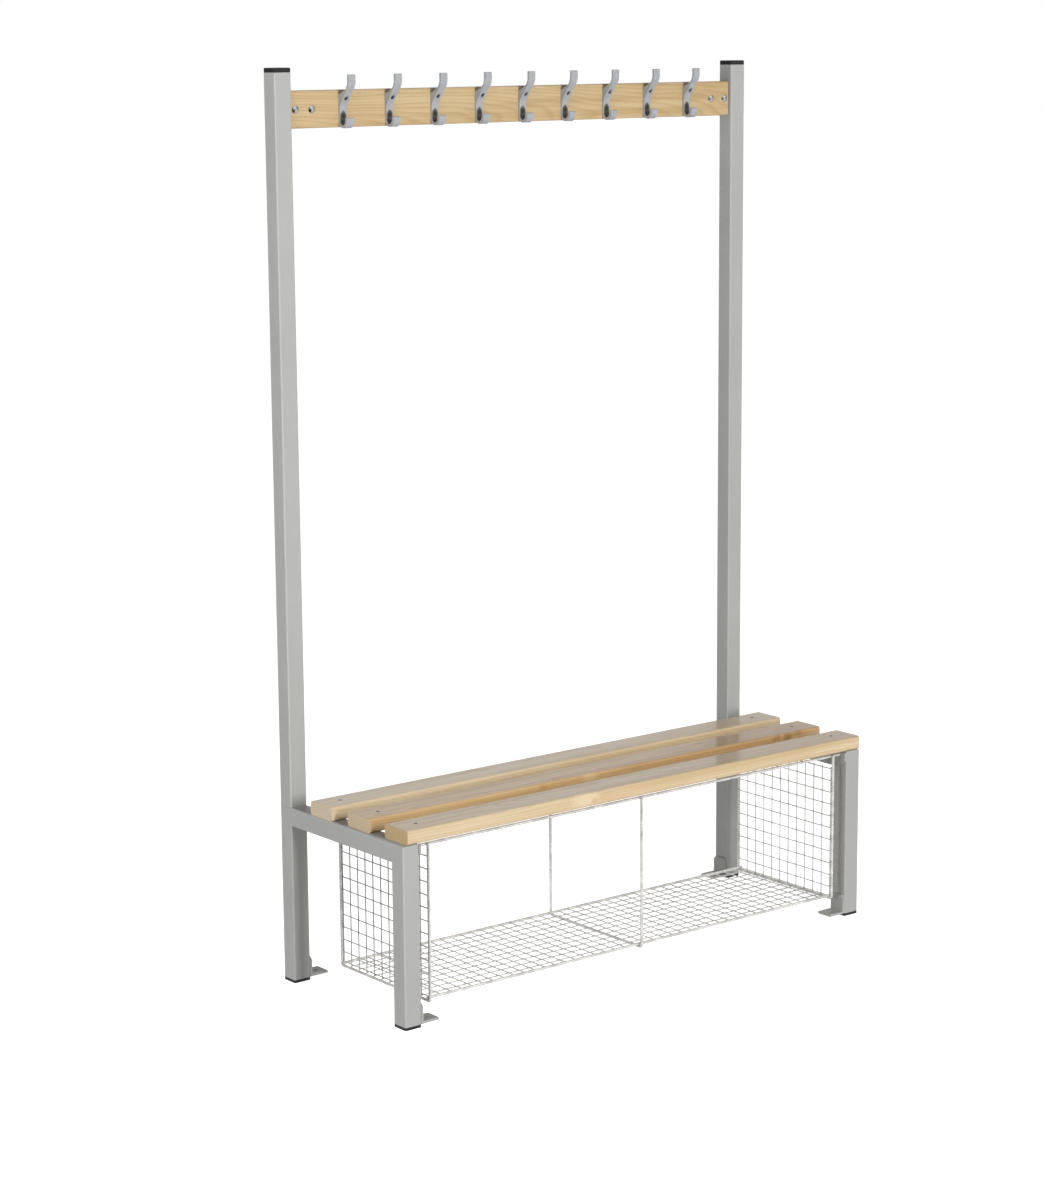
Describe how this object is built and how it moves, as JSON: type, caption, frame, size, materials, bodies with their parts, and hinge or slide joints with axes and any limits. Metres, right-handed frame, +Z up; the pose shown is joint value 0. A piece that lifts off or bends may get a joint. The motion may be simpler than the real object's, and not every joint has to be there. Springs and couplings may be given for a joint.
{
  "type": "cloakroom bench",
  "caption": "Freestanding cloakroom bench with square tube end frames, wooden seat slats, a wooden rail of coat hooks on tall uprights and an open wire shoe basket under the seat.",
  "frame": {"origin": "on the floor, under the middle of the bench", "axes": "+X along the bench, -Y towards the person who sits on it, +Z up"},
  "size_m": [1.2, 0.412, 1.8],
  "materials": {
    "silver_paint": "satin",
    "black_plastic": "satin",
    "bright_wire": "bright",
    "seat_wood": "lacquered",
    "board_wood": "lacquered",
    "hook_aluminium": "satin",
    "fixing_steel": "plain",
    "bolt_chrome": "polished"
  },
  "bodies": {
    "root": {"basket_floor_mesh": "bright_wire", "board_bolts": "bolt_chrome", "board_nuts": "fixing_steel", "board_washers": "fixing_steel", "coat_hook_1": "hook_aluminium", "coat_hook_2": "hook_aluminium", "coat_hook_3": "hook_aluminium", "coat_hook_4": "hook_aluminium", "coat_hook_5": "hook_aluminium", "coat_hook_6": "hook_aluminium", "coat_hook_7": "hook_aluminium", "coat_hook_8": "hook_aluminium", "coat_hook_9": "hook_aluminium", "front_long_rod": "bright_wire", "front_top_rod": "bright_wire", "hook_board": "board_wood", "hook_screws": "fixing_steel", "left_basket_frame": "bright_wire", "left_board_tab": "silver_paint", "left_end_mesh": "bright_wire", "left_front_basket_tab": "silver_paint", "left_front_floor_bracket": "silver_paint", "left_front_foot": "black_plastic", "left_front_leg": "silver_paint", "left_rear_basket_tab": "silver_paint", "left_rear_floor_bracket": "silver_paint", "left_rear_foot": "black_plastic", "left_rear_leg": "silver_paint", "left_seat_arm": "silver_paint", "left_slat_lugs": "silver_paint", "left_upright": "silver_paint", "left_upright_cap": "black_plastic", "middle_basket_frame": "bright_wire", "rear_long_rod": "bright_wire", "rear_top_rod": "bright_wire", "right_basket_frame": "bright_wire", "right_board_tab": "silver_paint", "right_end_mesh": "bright_wire", "right_front_basket_tab": "silver_paint", "right_front_floor_bracket": "silver_paint", "right_front_foot": "black_plastic", "right_front_leg": "silver_paint", "right_rear_basket_tab": "silver_paint", "right_rear_floor_bracket": "silver_paint", "right_rear_foot": "black_plastic", "right_rear_leg": "silver_paint", "right_seat_arm": "silver_paint", "right_slat_lugs": "silver_paint", "right_upright": "silver_paint", "right_upright_cap": "black_plastic", "seat_slat_1": "seat_wood", "seat_slat_2": "seat_wood", "seat_slat_3": "seat_wood", "slat_nuts": "fixing_steel", "slat_screws": "fixing_steel"}
  },
  "joints": []
}
